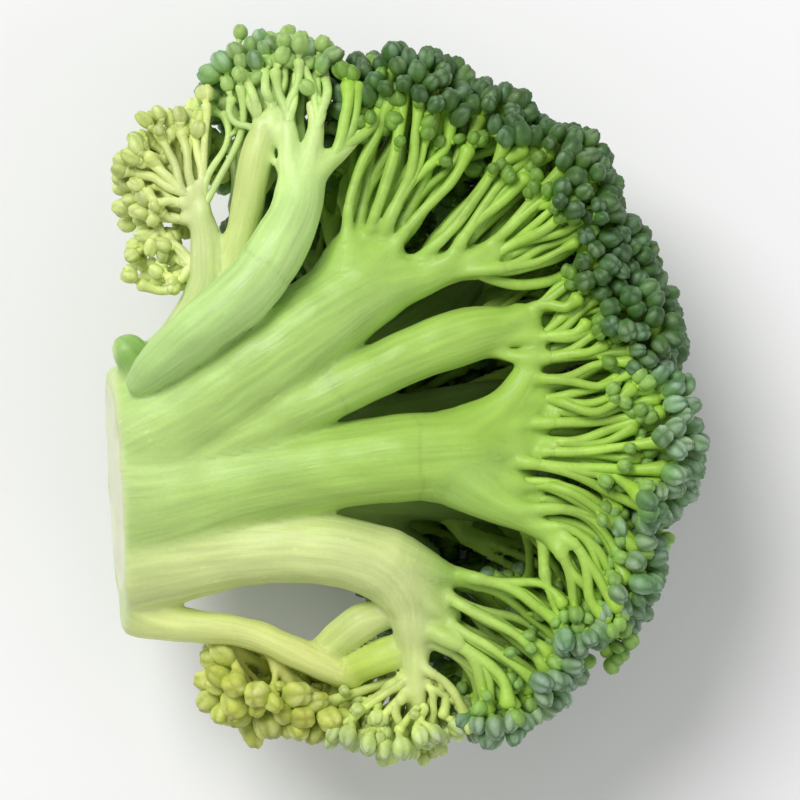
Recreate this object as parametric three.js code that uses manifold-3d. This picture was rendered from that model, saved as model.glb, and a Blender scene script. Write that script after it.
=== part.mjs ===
// A fresh broccoli floret: one small broccoli head, cut from its plant and lying on its rounded bud side.
// Units are millimetres and +Z is up. The floor is at z = 0, the cut end of the stem points along -X,
// the bare, branching inner side faces up and the dome of flower buds faces +X, both sides and the floor.
// The stalk is one grown piece: the cut stem and the branches that fork from it. Each branch carries a
// rounded mass of flower buds on fine stalks, and each of those masses is a solid of its own.
import * as THREE from "three";
import { mergeVertices } from "three/addons/utils/BufferGeometryUtils.js";
import Module from "manifold-3d";

const wasm = await Module();
wasm.setup();

// ---------- driving dimensions ----------
const ORIGIN = [0.16, -0.05, 0.0]; // moves the design frame so that the origin is below the middle of the object
const GAP = 0.3; // clearance between a bud mass and its neighbours
const FLOOR_Z = 0.0;
const BRANCH_SIDES = 9;
const CUT_POINT = [-27.6, -8.0, 22.0]; // on the knife cut that ends the stem
const CUT_NORMAL = [-0.985, -0.06, 0.16]; // out of the cut face
const STALK_GREEN = 0xb4d67c;
const BUD_GREEN = 0x4d7548;
const YOUNG_GREEN = 0xb0b857;

// Branches: points along the middle line, then the radius at the first and the last point, then how much
// wider than thick the section is.
const BRANCHES = {
  stem: { line: [[-31, -8.6, 21.6], [-22, -8.2, 22.2], [-14, -6.6, 22.4], [-7, -5.0, 22]], r: [8.6, 4.2], wide: 1.36 },
  // upper shoot behind the tongue, to the left edge
  left_shoot: { line: [[-27, -1.5, 21], [-22.5, 4.5, 23], [-19.4, 11.5, 25.5], [-19.6, 17.5, 26]], r: [4.4, 2.2], wide: 1 },
  // smooth tongue-shaped shoot lying over the stem
  tongue: { line: [[-24.6, 1.4, 27.0], [-19.2, 7.0, 29.2], [-13.6, 11.8, 29.6], [-9.4, 17.0, 28.2], [-7.9, 21.0, 26.6]], r: [2.5, 2.7], wide: 1.1 },
  // narrow shoot beside the tongue
  strip: { line: [[-16.4, 10.4, 25.6], [-15.1, 16.2, 26.8], [-14.3, 20.4, 27.2], [-13.5, 24.2, 27.0], [-12.3, 27.0, 26.6]], r: [2.2, 1.3], wide: 1 },
  // main upper branch and its fork
  upper: { line: [[-24, -3.5, 23.5], [-14.5, 4.2, 25.5], [-6.6, 10.8, 25.6], [-3.6, 14.0, 25.0]], r: [5.0, 3.9], wide: 1.1 },
  upper_top: { line: [[-5.0, 12.4, 25.2], [-3.6, 17.6, 24.4], [-0.6, 23.4, 23]], r: [3.3, 1.9], wide: 1 },
  upper_right: { line: [[-5.0, 12.2, 25.0], [2.6, 12.8, 24.6], [9.6, 14.6, 23.6]], r: [3.3, 2.0], wide: 1 },
  // slender middle branch
  middle: { line: [[-22, -5.0, 22.5], [-10.5, -0.4, 24.2], [-2.6, 3.0, 24.6], [4.4, 6.4, 23.8], [11.5, 7.0, 22]], r: [3.6, 2.1], wide: 1 },
  // main right branch and its three forks
  right: { line: [[-24, -8.8, 23.5], [-10, -5.6, 25.2], [2.6, -3.4, 25.4], [8.6, -3.2, 24.8]], r: [5.2, 4.0], wide: 1.05 },
  right_up: { line: [[6.0, -3.0, 25.0], [11.6, -1.0, 24.6], [15.6, 0.2, 24]], r: [2.9, 1.8], wide: 1 },
  right_mid: { line: [[6.0, -3.4, 25.0], [12.4, -5.0, 24.8], [17.4, -6.0, 24]], r: [3.0, 1.8], wide: 1 },
  right_low: { line: [[4.0, -4.4, 25.2], [10.4, -9.0, 25.0], [14.2, -14.4, 23.8]], r: [3.1, 1.9], wide: 1 },
  // lower branch, bending down to its forks
  lower: { line: [[-24, -13.2, 22.4], [-14.5, -15.0, 24.0], [-6.0, -13.8, 24.2], [-0.6, -15.0, 23.6], [1.6, -19.6, 22.8]], r: [4.6, 3.3], wide: 1.05 },
  lower_right: { line: [[-1.4, -14.6, 23.8], [4.6, -17.2, 23.2], [8.6, -20.6, 22]], r: [2.7, 1.8], wide: 1 },
  lower_down: { line: [[1.2, -18.6, 23.0], [0.6, -23.4, 23.0]], r: [3.0, 2.0], wide: 1 },
  // thin side shoot that leaves the stem near the cut
  side_shoot: { line: [[-25.2, -16.5, 21.0], [-23.8, -21.2, 21.2], [-17.0, -22.4, 21.2], [-12.4, -24.4, 20.6]], r: [2.6, 1.6], wide: 1 },
  // branches to the buds that the head lies on
  under_top: { line: [[-20, -5.4, 18.5], [-12.6, 2.4, 15.4], [-7.8, 9.8, 12.4], [-6.2, 13.8, 11.2]], r: [4.4, 2.3], wide: 1 },
  under_top_right: { line: [[-16, -5.6, 18.5], [-5.2, 1.8, 15.2], [3, 8.2, 12.2], [6.4, 11.4, 11]], r: [4.2, 2.3], wide: 1 },
  under_right: { line: [[-16, -6.4, 18.5], [-4.4, -3.6, 15.2], [7, -0.8, 12.2], [12, 0.6, 11.2]], r: [4.4, 2.4], wide: 1 },
  under_bottom_right: { line: [[-16, -8, 18.5], [-4.4, -8.2, 15.2], [6.4, -9.6, 12.2], [10.8, -10.7, 11.2]], r: [4.2, 2.3], wide: 1 },
  under_bottom: { line: [[-18, -9.4, 18.5], [-9, -11.2, 15.4], [-1.4, -13.8, 12.4], [2.2, -15.4, 11.2]], r: [4, 2.2], wide: 1 },
  under_middle: { line: [[-18, -7.6, 18], [-9.2, -5, 14], [-1.8, -3, 11.2]], r: [4.6, 2.4], wide: 1 },
};

// Bud masses: centre, radius, colour, and a smaller lump that rounds some of them off beside a neighbour.
const CLUSTERS = {
  bud_cluster_left: { c: [-20.6, 20.4, 26.0], r: 6.6, young: true },
  bud_cluster_top_left: { c: [-12.2, 25.6, 23.6], r: 8.7 },
  bud_cluster_top: { c: [0.6, 24.4, 21.4], r: 9.4, lump: { c: [6.8, 23.2, 21.2], r: 8.0 } },
  bud_cluster_top_right: { c: [11.8, 17.2, 21.6], r: 10.2 },
  bud_cluster_right_upper: { c: [18.4, 6.6, 20.2], r: 9.4, lump: { c: [16.0, 12.4, 20.6], r: 8.8 } },
  bud_cluster_right: { c: [19.4, -4.6, 23.0], r: 9.4 },
  bud_cluster_right_lower: { c: [15.2, -15.2, 22.0], r: 9.4 },
  bud_cluster_bottom_right: { c: [8.8, -23.0, 20.8], r: 9.0 },
  bud_cluster_bottom: { c: [-1.2, -25.6, 22.4], r: 8.6 },
  bud_cluster_side_shoot: { c: [-13.2, -26.2, 19.6], r: 6.6, young: true },
  bud_cluster_under_top: { c: [-6.4, 16.2, 9.8], r: 10.4 },
  bud_cluster_under_top_right: { c: [7.8, 12.8, 9.2], r: 10.4 },
  bud_cluster_under_right: { c: [15.2, 0.8, 9.6], r: 10.4 },
  bud_cluster_under_bottom_right: { c: [13.6, -11.8, 9.6], r: 10.0 },
  bud_cluster_under_bottom: { c: [5.0, -16.6, 9.4], r: 9.6 },
  bud_cluster_under_middle: { c: [-0.6, -2.2, 8.4], r: 10.2 },
};

// ---------- helpers ----------
function solid(geometry) {
  const g = geometry.index ? geometry.toNonIndexed() : geometry.clone();
  const bare = new THREE.BufferGeometry().setAttribute("position", g.getAttribute("position"));
  const merged = mergeVertices(bare, 1e-4);
  const make = (tri) =>
    new wasm.Manifold(new wasm.Mesh({ numProp: 3, vertProperties: new Float32Array(merged.attributes.position.array), triVerts: tri }));
  const tri = new Uint32Array(merged.index.array);
  const made = make(tri);
  if (made.volume() > 0) return made;
  for (let i = 0; i < tri.length; i += 3) [tri[i + 1], tri[i + 2]] = [tri[i + 2], tri[i + 1]];
  return make(tri);
}

function geometryOf(manifold) {
  const m = manifold.getMesh();
  const v = new Float32Array(m.numVert * 3);
  for (let i = 0; i < m.numVert; i++) v.set(m.vertProperties.subarray(i * m.numProp, i * m.numProp + 3), i * 3);
  const g = new THREE.BufferGeometry();
  g.setAttribute("position", new THREE.BufferAttribute(v, 3));
  g.setIndex(new THREE.BufferAttribute(new Uint32Array(m.triVerts), 1));
  g.computeVertexNormals();
  return g;
}

// A round, tapering shoot along a smooth line. grow widens it all over.
function shoot({ line, r, wide }, grow = 0) {
  const curve = new THREE.CatmullRomCurve3(line.map((p) => new THREE.Vector3(...p)), false, "centripetal");
  const steps = Math.max(3, Math.round(curve.getLength() / 5));
  const g = new THREE.CylinderGeometry(1, 1, 1, BRANCH_SIDES, steps);
  const at = g.getAttribute("position");
  const up = new THREE.Vector3(0, 0, 1);
  for (let i = 0; i < at.count; i++) {
    const t = Math.min(1, Math.max(0, at.getY(i) + 0.5));
    const p = curve.getPointAt(t);
    const along = curve.getTangentAt(t);
    const side = new THREE.Vector3().crossVectors(along, up).normalize();
    const over = new THREE.Vector3().crossVectors(side, along).normalize();
    const radius = r[0] + (r[1] - r[0]) * t + grow;
    // the extra width and the gap also lengthen both ends
    p.addScaledVector(along, (t === 0 ? -1 : t === 1 ? 1 : 0) * grow);
    p.addScaledVector(side, at.getX(i) * radius * wide).addScaledVector(over, at.getZ(i) * radius);
    at.setXYZ(i, p.x, p.y, p.z);
  }
  return solid(g);
}

// A large block whose one face is the plane through point with that outward normal; it covers the outside.
function outside(point, normal, size = 200) {
  const n = new THREE.Vector3(...normal).normalize();
  const g = new THREE.BoxGeometry(size, size, size);
  g.translate(0, 0, size / 2);
  g.applyQuaternion(new THREE.Quaternion().setFromUnitVectors(new THREE.Vector3(0, 0, 1), n));
  g.translate(...point);
  return solid(g);
}

function largest(manifold) {
  const bodies = manifold.decompose();
  return bodies.reduce((a, b) => (b.volume() > a.volume() ? b : a));
}

// ---------- the stalk ----------
const knife = outside(CUT_POINT, CUT_NORMAL);
const joined = (grow) => Object.values(BRANCHES).map((b) => shoot(b, grow)).reduce((a, b) => a.add(b));
const stalk = largest(joined(0).subtract(knife));
const stalkRoom = joined(GAP);

// ---------- the bud masses ----------
const floor = outside([0, 0, FLOOR_Z], [0, 0, -1]);
const names = Object.keys(CLUSTERS);
const masses = {};
const balls = (name) => [CLUSTERS[name], CLUSTERS[name].lump].filter(Boolean);
function ball({ c, r }, name) {
  const g = new THREE.IcosahedronGeometry(r, 3);
  g.translate(...c);
  let made = solid(g).subtract(floor);
  // neighbours share the flat between them, half the gap each
  for (const q of names.filter((other) => other !== name).flatMap(balls)) {
    const d = new THREE.Vector3(q.c[0] - c[0], q.c[1] - c[1], q.c[2] - c[2]);
    const apart = d.length();
    if (apart >= r + q.r + GAP) continue;
    const h = (apart * apart + r * r - q.r * q.r) / (2 * apart) - GAP / 2;
    const n = d.normalize();
    made = made.subtract(outside([c[0] + n.x * h, c[1] + n.y * h, c[2] + n.z * h], [n.x, n.y, n.z]));
  }
  return made;
}
for (const name of names) {
  const mass = balls(name).map((b) => ball(b, name)).reduce((a, b) => a.add(b));
  masses[name] = largest(mass.subtract(stalkRoom));
}

// ---------- the scene graph ----------
const finish = (color) => new THREE.MeshStandardMaterial({ color, roughness: 0.55, metalness: 0 });
const head = new THREE.Group();
head.name = "broccoli_floret";
const stalkMesh = new THREE.Mesh(geometryOf(stalk), finish(STALK_GREEN));
stalkMesh.name = "stalk";
head.add(stalkMesh);
for (const name of names) {
  const mesh = new THREE.Mesh(geometryOf(masses[name]), finish(CLUSTERS[name].young ? YOUNG_GREEN : BUD_GREEN));
  mesh.name = name;
  head.add(mesh);
}
head.position.set(...ORIGIN);

export default head;
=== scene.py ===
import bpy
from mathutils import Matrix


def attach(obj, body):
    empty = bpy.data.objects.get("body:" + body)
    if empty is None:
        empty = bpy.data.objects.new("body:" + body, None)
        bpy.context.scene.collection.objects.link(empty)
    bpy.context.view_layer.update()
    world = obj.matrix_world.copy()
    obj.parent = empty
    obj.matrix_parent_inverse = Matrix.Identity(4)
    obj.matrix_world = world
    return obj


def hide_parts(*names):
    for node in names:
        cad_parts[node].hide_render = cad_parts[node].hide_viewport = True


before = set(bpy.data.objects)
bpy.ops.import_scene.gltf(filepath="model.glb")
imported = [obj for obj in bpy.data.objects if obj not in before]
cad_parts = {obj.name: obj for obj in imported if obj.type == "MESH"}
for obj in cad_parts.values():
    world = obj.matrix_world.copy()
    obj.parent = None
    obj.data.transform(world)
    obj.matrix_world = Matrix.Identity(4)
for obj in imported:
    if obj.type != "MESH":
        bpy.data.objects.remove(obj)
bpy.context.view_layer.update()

import math

import bpy
import numpy as np

# A broccoli floret lying on its bud dome. Lengths below are in millimetres until a mesh is made.
# The stalk is one smooth grown body. Each bud cluster is a tuft: side branches, fine strands with flared tips,
# short pedicels, and closed flower buds of four sepals.
MM = 0.001
ORIGIN = np.array([0.16, -0.05, 0.0])
rng = np.random.default_rng(20261125)


def at(u, v, z, r):
    """A point of a branch: u to the right and v down on a 0.0521 mm grid over the floret's face, height z, radius r."""
    return (u * 0.052105 - 30.1, 41.71 - v * 0.052105, z, r)


def lin(r, g, b):
    """An sRGB colour of 0-255 as linear light."""
    c = np.array([r, g, b], float) / 255.0
    return np.where(c <= 0.04045, c / 12.92, ((c + 0.055) / 1.055) ** 2.4)


# ------------------------------------------------------------------ skeleton
# name: (points, blend width with what it grows from, colour at its start, colour at its end)
PALE = lin(190, 217, 134)
MID = lin(172, 208, 106)
LIME = lin(164, 202, 84)
CREAM = lin(211, 224, 150)
GREYGREEN = lin(184, 216, 138)
DEEP = lin(140, 184, 66)

TRUNK = {
    "stem_core": ([at(-60, 955, 21.2, 7.4), at(120, 955, 21.6, 7.0), at(260, 930, 21.8, 5.4), at(400, 905, 21.6, 3.6)], 2.0, PALE, PALE),
    "stem_up": ([at(-60, 845, 21.0, 6.0), at(120, 850, 21.8, 5.6), at(240, 800, 22.2, 4.2)], 2.0, PALE, PALE),
    "stem_low": ([at(-60, 1075, 20.6, 5.6), at(120, 1080, 21.2, 5.0), at(250, 1065, 21.8, 3.8)], 2.0, PALE, PALE),
    "under_top": ([at(194, 904, 18.5, 4.4), at(336, 754, 15.4, 3.4), at(428, 612, 12.4, 2.5), at(459, 536, 11.2, 1.7)], 1.6, PALE, MID),
    "under_top_right": ([at(271, 908, 18.5, 4.2), at(478, 766, 15.2, 3.3), at(635, 643, 12.2, 2.5), at(701, 582, 11.0, 1.7)], 1.6, PALE, MID),
    "under_right": ([at(271, 923, 18.5, 4.4), at(493, 870, 15.2, 3.4), at(712, 816, 12.2, 2.6), at(808, 789, 11.2, 1.8)], 1.6, PALE, MID),
    "under_bottom_right": ([at(271, 954, 18.5, 4.2), at(493, 958, 15.2, 3.3), at(701, 985, 12.2, 2.5), at(785, 1006, 11.2, 1.7)], 1.6, PALE, MID),
    "under_bottom": ([at(232, 981, 18.5, 4.0), at(405, 1015, 15.4, 3.0), at(551, 1065, 12.4, 2.3), at(620, 1096, 11.2, 1.6)], 1.6, PALE, MID),
    "under_middle": ([at(232, 946, 18.0, 4.6), at(401, 896, 14.0, 3.2), at(543, 858, 11.2, 1.8)], 1.6, PALE, MID),
    "upper": ([at(20, 905, 22.4, 5.4), at(160, 835, 24.0, 5.2), at(270, 765, 25.1, 5.0), at(370, 697, 25.8, 4.7), at(440, 645, 25.9, 4.3), at(495, 610, 25.7, 3.7), at(545, 582, 25.4, 2.5)], 1.4, PALE, MID),
    "right": ([at(20, 1005, 22.4, 5.6), at(160, 982, 23.5, 5.0), at(280, 952, 24.4, 4.4), at(400, 930, 24.9, 4.1), at(520, 912, 25.2, 4.1), at(610, 903, 25.3, 4.2), at(675, 897, 25.2, 3.6), at(735, 892, 25.1, 2.3)], 1.3, PALE, LIME),
    "lower": ([at(20, 1112, 21.4, 5.0), at(160, 1092, 22.8, 4.1), at(270, 1078, 23.5, 3.5), at(380, 1072, 24.0, 3.3), at(470, 1080, 24.2, 3.4), at(540, 1106, 24.1, 3.3), at(585, 1160, 23.7, 2.5), at(600, 1220, 23.3, 1.8)], 1.3, CREAM, CREAM),
    "middle": ([at(120, 935, 22.6, 4.0), at(240, 886, 24.6, 3.2), at(340, 838, 25.9, 2.75), at(430, 795, 26.4, 2.6), at(520, 752, 26.4, 2.55), at(610, 711, 26.0, 2.6), at(700, 680, 25.3, 2.7), at(760, 666, 24.8, 2.0), at(810, 655, 24.4, 1.2)], 0.8, PALE, LIME),
    "upper_top": ([at(470, 590, 25.8, 3.2), at(480, 535, 25.8, 2.2), at(494, 492, 25.6, 1.0)], 1.2, MID, LIME),
    "upper_top2": ([at(505, 580, 25.7, 3.0), at(540, 535, 25.6, 2.0), at(566, 508, 25.4, 0.9)], 1.2, MID, LIME),
    "upper_right": ([at(520, 597, 25.6, 3.2), at(600, 576, 25.6, 2.1), at(680, 550, 25.4, 1.5), at(745, 528, 25.1, 1.05), at(800, 500, 24.9, 0.7)], 1.2, MID, LIME),
    "right_up": ([at(690, 868, 25.3, 3.0), at(760, 820, 25.3, 2.0), at(800, 768, 25.3, 1.5), at(820, 710, 25.2, 1.1), at(813, 665, 25.0, 0.8), at(792, 634, 24.8, 0.5)], 1.2, LIME, LIME),
    "right_up2": ([at(730, 868, 25.2, 2.4), at(800, 830, 25.1, 1.6), at(850, 790, 24.9, 0.9)], 1.0, LIME, DEEP),
    "right_mid": ([at(715, 892, 25.2, 2.8), at(780, 882, 25.1, 1.7), at(835, 878, 24.9, 0.8)], 1.1, LIME, DEEP),
    "right_low": ([at(672, 930, 25.4, 3.4), at(750, 985, 25.7, 2.1), at(805, 1016, 25.7, 1.4), at(845, 1048, 25.5, 0.7)], 1.2, MID, LIME),
    "right_low2": ([at(695, 918, 25.4, 2.8), at(770, 942, 25.3, 1.7), at(830, 962, 25.1, 0.8)], 0.9, MID, LIME),
    "lower_right": ([at(560, 1092, 24.0, 2.8), at(625, 1112, 23.7, 1.8), at(680, 1130, 23.3, 0.8)], 1.1, CREAM, DEEP),
    "lower_right2": ([at(585, 1140, 23.8, 2.4), at(635, 1170, 23.6, 1.6), at(675, 1198, 23.3, 0.7)], 1.0, CREAM, DEEP),
    "lower_down": ([at(600, 1215, 23.3, 1.8), at(602, 1270, 23.0, 1.45), at(604, 1335, 22.6, 1.1), at(600, 1385, 22.2, 0.6)], 1.0, CREAM, lin(214, 230, 140)),
    "stub_1": ([at(548, 1196, 22.3, 1.5), at(504, 1210, 22.5, 1.8), at(466, 1238, 21.5, 1.75), at(432, 1266, 20.4, 1.4)], 0.2, CREAM, lin(204, 220, 128)),
    "stub_2": ([at(592, 1256, 22.1, 1.4), at(550, 1270, 22.3, 1.75), at(502, 1290, 21.4, 1.65), at(462, 1308, 20.2, 1.3)], 0.2, lin(196, 218, 110), lin(192, 214, 92)),
    "side": ([at(20, 1140, 20.4, 3.0), at(85, 1190, 21.2, 2.4), at(140, 1211, 21.6, 1.8), at(210, 1218, 21.8, 1.55), at(290, 1230, 21.8, 1.5), at(370, 1260, 21.8, 1.5), at(430, 1290, 21.7, 1.35), at(472, 1312, 21.4, 0.9), at(490, 1322, 21.2, 0.5)], 1.0, CREAM, lin(222, 228, 140)),
    "left": ([at(40, 870, 21.6, 4.6), at(140, 742, 23.4, 3.0), at(200, 642, 25.2, 2.1), at(221, 575, 26.0, 1.7), at(220, 510, 26.4, 1.5), at(211, 462, 26.5, 1.1), at(205, 430, 26.4, 0.7)], 1.2, PALE, lin(214, 226, 158)),
    "strip": ([at(170, 775, 22.6, 2.8), at(222, 690, 24.2, 2.5), at(262, 600, 25.6, 2.1), at(288, 490, 26.8, 1.6), at(302, 410, 27.3, 1.6), at(318, 335, 27.3, 1.5), at(342, 282, 26.9, 1.0), at(352, 252, 26.6, 0.6)], 0.8, CREAM, lin(206, 222, 136)),
    "knob": ([at(120, 775, 24.0, 1.9), at(78, 712, 25.2, 1.75)], 0.7, GREYGREEN, lin(150, 190, 104)),
    "tongue": ([at(100, 766, 27.9, 1.4), at(140, 731, 29.0, 2.1), at(225, 661, 30.1, 2.65), at(302, 597, 30.3, 2.8), at(358, 515, 29.9, 2.7), at(386, 455, 29.2, 2.4), at(393, 418, 28.7, 2.05), at(396, 390, 28.3, 1.5)], 0.6, lin(172, 206, 126), lin(198, 230, 144)),
    "tongue_left": ([at(385, 440, 29.0, 1.9), at(378, 392, 28.9, 1.3), at(372, 352, 28.7, 0.95), at(373, 316, 28.3, 0.75), at(368, 272, 27.7, 0.5)], 0.7, lin(198, 230, 144), lin(222, 240, 166)),
    "tongue_top": ([at(392, 430, 28.9, 1.9), at(403, 382, 28.7, 1.3), at(416, 336, 28.4, 1.0), at(421, 298, 28.0, 0.75), at(412, 262, 27.6, 0.5)], 0.7, lin(198, 230, 144), lin(222, 240, 160)),
    "tongue_right": ([at(398, 430, 28.7, 1.8), at(422, 386, 28.4, 1.2), at(462, 350, 28.0, 0.85), at(500, 316, 27.5, 0.55)], 0.7, lin(198, 230, 144), lin(206, 232, 138)),
}
CUT_POINT = np.array([-27.6, -8.0, 22.0])
CUT_NORMAL = np.array([-0.985, -0.06, 0.16])
CUT_NORMAL /= np.linalg.norm(CUT_NORMAL)

# Bud clusters: centre and radius as in the CAD model, the way it faces, how high on it the buds climb (degrees),
# the branches that feed it, and its colour family.
CLUSTERS = {
    "bud_cluster_left": ((-20.6, 20.4, 26.0), 6.6, (-0.8, 0.6, 0.05), 14, ["left"], "young"),
    "bud_cluster_top_left": ((-12.2, 25.6, 23.6), 8.7, (-0.25, 0.97, -0.1), 18, ["strip", "tongue_left", "tongue_top"], "light"),
    "bud_cluster_top": ((0.6, 24.4, 21.4), 9.4, (0.12, 0.97, -0.15), 58, ["upper_top", "upper_top2"], "dark"),
    "bud_cluster_top_right": ((11.8, 17.2, 21.6), 10.2, (0.72, 0.68, -0.15), 56, ["upper_right"], "dark"),
    "bud_cluster_right_upper": ((18.4, 6.6, 20.2), 9.4, (0.93, 0.32, -0.15), 74, ["middle", "right_up"], "dark"),
    "bud_cluster_right": ((19.4, -4.6, 23.0), 9.4, (1.0, -0.06, -0.15), 50, ["right_up2", "right_mid"], "blue"),
    "bud_cluster_right_lower": ((15.2, -15.2, 22.0), 9.4, (0.86, -0.5, -0.15), 40, ["right_low", "right_low2"], "blue"),
    "bud_cluster_bottom_right": ((8.8, -23.0, 20.8), 9.0, (0.55, -0.83, -0.15), 34, ["lower_right", "lower_right2"], "blue"),
    "bud_cluster_bottom": ((-1.2, -25.6, 22.4), 8.6, (-0.05, -1.0, -0.12), 24, ["lower_down"], "pale"),
    "bud_cluster_side_shoot": ((-13.2, -26.2, 19.6), 6.6, (-0.35, -0.93, 0.1), 82, ["side"], "yellow"),
    "bud_cluster_under_top": ((-6.4, 16.2, 9.8), 10.4, (-0.3, 0.6, -0.75), None, ["under_top"], "dark"),
    "bud_cluster_under_top_right": ((7.8, 12.8, 9.2), 10.4, (0.45, 0.45, -0.75), None, ["under_top_right"], "dark"),
    "bud_cluster_under_right": ((15.2, 0.8, 9.6), 10.4, (0.7, 0.1, -0.75), None, ["under_right"], "dark"),
    "bud_cluster_under_bottom_right": ((13.6, -11.8, 9.6), 10.0, (0.6, -0.45, -0.75), None, ["under_bottom_right"], "blue"),
    "bud_cluster_under_bottom": ((5.0, -16.6, 9.4), 9.6, (-0.1, -0.6, -0.75), None, ["under_bottom"], "dark"),
    "bud_cluster_under_middle": ((-0.6, -2.2, 8.4), 10.2, (-0.25, 0.0, -0.97), None, ["under_middle"], "dark"),
}
# smaller lumps that round off a cluster beside its neighbour: centre and radius
LUMPS = {
    "bud_cluster_top": [((6.8, 23.2, 21.2), 8.0)],
    "bud_cluster_right_upper": [((16.0, 12.4, 20.6), 8.8)],
    "bud_cluster_side_shoot": [((-8.8, -28.0, 19.6), 4.8)],
}
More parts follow.
